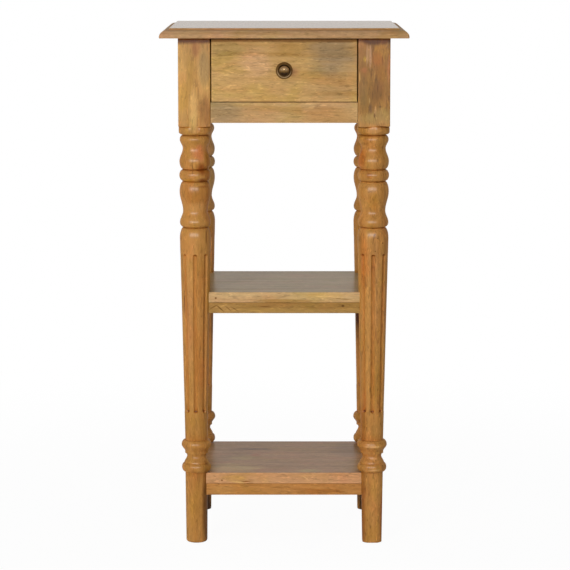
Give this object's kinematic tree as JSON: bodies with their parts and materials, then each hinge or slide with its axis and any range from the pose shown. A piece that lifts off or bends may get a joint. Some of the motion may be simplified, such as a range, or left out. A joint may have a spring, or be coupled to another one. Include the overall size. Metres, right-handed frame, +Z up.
{
  "type": "telephone table",
  "caption": "Tall square-topped wooden telephone table: turned and fluted tapering legs, moulded top, shallow drawer with a round knob, and open shelves below.",
  "frame": {"origin": "on the floor under the middle of the table", "axes": "+Z up; the drawer front faces -Y; +X is to the right of someone who stands before it"},
  "size_m": [0.4, 0.35, 0.85],
  "materials": {
    "honey_wood": "satin lacquer",
    "turned_wood": "satin lacquer",
    "shelf_wood": "satin lacquer",
    "plain_wood": "bare",
    "aged_brass": "aged",
    "steel": "zinc plated"
  },
  "bodies": {
    "frame": {"top_panel": "honey_wood", "leg_front_left": "turned_wood", "leg_front_right": "turned_wood", "leg_rear_left": "turned_wood", "leg_rear_right": "turned_wood", "drawer_rail": "honey_wood", "back_apron": "honey_wood", "side_apron_left": "honey_wood", "side_apron_right": "honey_wood", "runner_left": "plain_wood", "guide_left": "plain_wood", "drawer_stop_left": "plain_wood", "top_batten_left": "plain_wood", "runner_right": "plain_wood", "guide_right": "plain_wood", "drawer_stop_right": "plain_wood", "top_batten_right": "plain_wood", "guide_screw_front_left": "steel", "guide_screw_front_right": "steel", "guide_screw_rear_left": "steel", "guide_screw_rear_right": "steel", "top_screw_front_left": "steel", "top_screw_front_right": "steel", "top_screw_rear_left": "steel", "top_screw_rear_right": "steel", "middle_shelf_board": "shelf_wood", "middle_shelf_rail_front": "shelf_wood", "middle_shelf_rail_rear": "shelf_wood", "middle_shelf_rail_left": "shelf_wood", "middle_shelf_rail_right": "shelf_wood", "middle_shelf_screw_front_left": "steel", "middle_shelf_screw_front_right": "steel", "middle_shelf_screw_rear_left": "steel", "middle_shelf_screw_rear_right": "steel", "lower_shelf_board": "shelf_wood", "lower_shelf_rail_front": "shelf_wood", "lower_shelf_rail_rear": "shelf_wood", "lower_shelf_rail_left": "shelf_wood", "lower_shelf_rail_right": "shelf_wood", "lower_shelf_screw_front_left": "steel", "lower_shelf_screw_front_right": "steel", "lower_shelf_screw_rear_left": "steel", "lower_shelf_screw_rear_right": "steel"},
    "drawer": {"drawer_front": "honey_wood", "drawer_side_left": "plain_wood", "drawer_side_right": "plain_wood", "drawer_back": "plain_wood", "drawer_bottom": "plain_wood", "knob_rosette": "aged_brass", "knob": "aged_brass", "knob_screw": "steel"}
  },
  "joints": [
    {"name": "drawer_slide", "type": "slide", "parent": "frame", "child": "drawer", "axis": [0, -1, 0], "range_m": [0, 0.18]}
  ]
}
